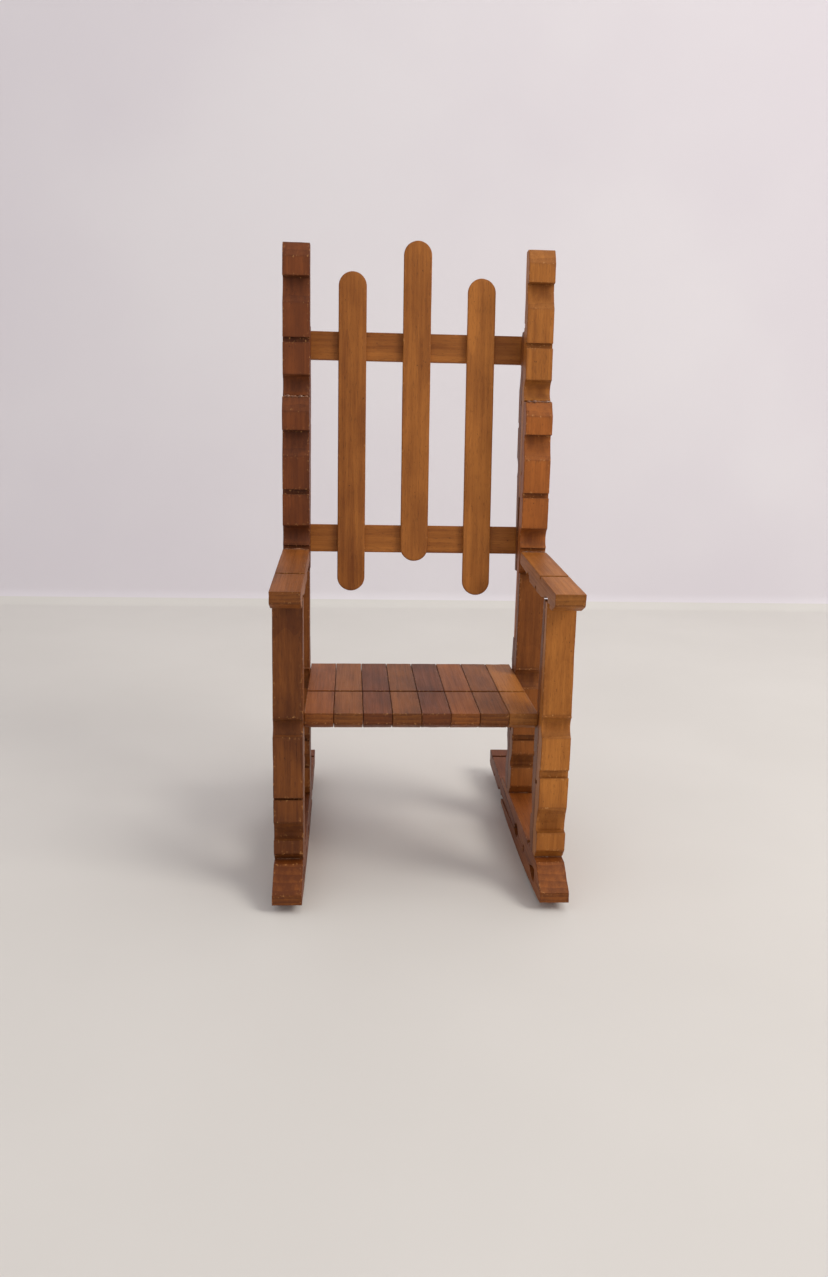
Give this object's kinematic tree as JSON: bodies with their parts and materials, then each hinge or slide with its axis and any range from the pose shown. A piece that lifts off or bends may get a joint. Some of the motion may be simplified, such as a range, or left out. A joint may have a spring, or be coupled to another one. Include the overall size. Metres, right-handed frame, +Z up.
{
  "type": "miniature rocking chair",
  "caption": "Doll's rocking chair glued up from stained wooden clothes-peg halves, with a slatted back of round-ended craft sticks.",
  "frame": {"origin": "on the floor at the lowest point of the rockers' height, midway between the two sides and midway between the rockers' front and rear tips", "axes": "+Z up, +X to the right in a front view, +Y to the back of the chair"},
  "size_m": [0.095, 0.12, 0.2145],
  "materials": {
    "wood_golden": "amber stained wood, satin varnish",
    "wood_red": "red-brown stained wood, satin varnish",
    "wood_brown": "brown stained wood, satin varnish",
    "wood_dark": "dark red-brown stained wood, satin varnish",
    "wood_stick": "stained birch stick, satin varnish"
  },
  "bodies": {
    "root": {"rocker_lower_left": "wood_red", "rocker_lower_right": "wood_red", "rocker_upper_left": "wood_red", "rocker_upper_right": "wood_red", "rocker_tail_left": "wood_dark", "rocker_tail_right": "wood_dark", "front_leg_face_left": "wood_brown", "front_leg_face_right": "wood_golden", "front_leg_back_left": "wood_brown", "front_leg_back_right": "wood_brown", "rear_leg_face_left": "wood_brown", "rear_leg_face_right": "wood_brown", "rear_leg_back_left": "wood_dark", "rear_leg_back_right": "wood_dark", "post_lower_left": "wood_dark", "post_lower_right": "wood_red", "post_upper_left": "wood_dark", "post_upper_right": "wood_golden", "post_splint_left": "wood_dark", "post_splint_right": "wood_brown", "arm_left": "wood_brown", "arm_right": "wood_golden", "seat_peg_1": "wood_red", "seat_peg_2": "wood_brown", "seat_peg_3": "wood_dark", "seat_peg_4": "wood_brown", "seat_peg_5": "wood_dark", "seat_peg_6": "wood_red", "seat_peg_7": "wood_brown", "seat_peg_8": "wood_golden", "seat_batten_front": "wood_stick", "seat_batten_rear": "wood_stick", "back_rail_upper": "wood_stick", "back_rail_lower": "wood_stick", "slat_left": "wood_stick", "slat_middle": "wood_stick", "slat_right": "wood_stick"}
  },
  "joints": []
}
